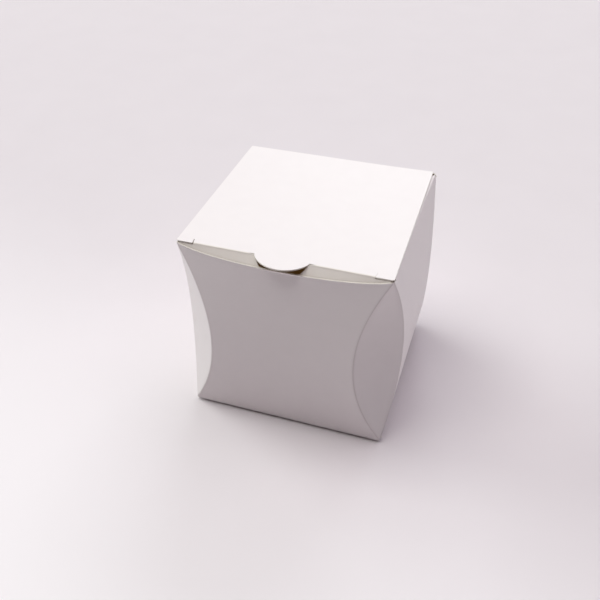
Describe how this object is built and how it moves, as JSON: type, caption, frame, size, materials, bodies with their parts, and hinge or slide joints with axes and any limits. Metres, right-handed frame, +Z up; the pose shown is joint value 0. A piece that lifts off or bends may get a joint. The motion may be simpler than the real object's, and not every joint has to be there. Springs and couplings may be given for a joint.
{
  "type": "curved cube box",
  "caption": "Small white paperboard gift carton, a cube with gently swelling walls, almond shaped corner panels on curved creases, a tuck lid with a thumb tab and a tucked bottom.",
  "frame": {"origin": "on the surface the box stands on, under the middle of its four wall corners", "axes": "+Z up, the front wall with the thumb tab faces -Y, +X to the right seen from the front"},
  "size_m": [0.0874, 0.0865, 0.0816],
  "materials": {
    "white_board": "smooth clay coated white paperboard, low sheen"
  },
  "bodies": {
    "walls": {"front_wall": "white_board", "right_wall": "white_board", "back_wall": "white_board", "left_wall": "white_board", "corner_panel_front_left": "white_board", "corner_panel_front_right": "white_board", "corner_panel_back_right": "white_board", "corner_panel_back_left": "white_board", "glue_flap": "white_board"},
    "lid": {"lid_panel": "white_board"},
    "lid_tuck": {"tuck_flap": "white_board"},
    "left_dust": {"dust_flap_left": "white_board"},
    "right_dust": {"dust_flap_right": "white_board"},
    "bottom": {"bottom_panel": "white_board"},
    "bottom_tuck": {"bottom_tuck_flap": "white_board"},
    "bottom_left_dust": {"bottom_dust_flap_left": "white_board"},
    "bottom_right_dust": {"bottom_dust_flap_right": "white_board"}
  },
  "joints": [
    {"name": "lid_fold", "type": "hinge", "parent": "walls", "child": "lid", "pos_m": [0, 0.0385, 0.0808], "axis": [-1, 0, 0], "range_deg": [0, 160]},
    {"name": "tuck_fold", "type": "hinge", "parent": "lid", "child": "lid_tuck", "pos_m": [0, -0.0377, 0.0811], "axis": [-1, 0, 0], "range_deg": [0, 32]},
    {"name": "dust_fold_left", "type": "hinge", "parent": "walls", "child": "left_dust", "pos_m": [-0.04, 0, 0.0808], "axis": [0, -1, 0], "range_deg": [0, 88]},
    {"name": "dust_fold_right", "type": "hinge", "parent": "walls", "child": "right_dust", "pos_m": [0.04, 0, 0.0808], "axis": [0, 1, 0], "range_deg": [0, 88]},
    {"name": "bottom_fold", "type": "hinge", "parent": "walls", "child": "bottom", "pos_m": [0, -0.0385, 0.0008], "axis": [-1, 0, 0], "range_deg": [0, 160]},
    {"name": "bottom_tuck_fold", "type": "hinge", "parent": "bottom", "child": "bottom_tuck", "pos_m": [0, 0.0377, 0.0005], "axis": [-1, 0, 0], "range_deg": [0, 32]},
    {"name": "bottom_dust_fold_left", "type": "hinge", "parent": "walls", "child": "bottom_left_dust", "pos_m": [-0.04, 0, 0.0008], "axis": [0, 1, 0], "range_deg": [0, 88]},
    {"name": "bottom_dust_fold_right", "type": "hinge", "parent": "walls", "child": "bottom_right_dust", "pos_m": [0.04, 0, 0.0008], "axis": [0, -1, 0], "range_deg": [0, 88]}
  ],
  "couplings": [
    {"joint": "tuck_fold", "follows": "lid_fold", "ratio": 0.2},
    {"joint": "dust_fold_left", "follows": "lid_fold", "ratio": 0.55},
    {"joint": "dust_fold_right", "follows": "lid_fold", "ratio": 0.55},
    {"joint": "bottom_tuck_fold", "follows": "bottom_fold", "ratio": 0.2},
    {"joint": "bottom_dust_fold_left", "follows": "bottom_fold", "ratio": 0.55},
    {"joint": "bottom_dust_fold_right", "follows": "bottom_fold", "ratio": 0.55}
  ]
}
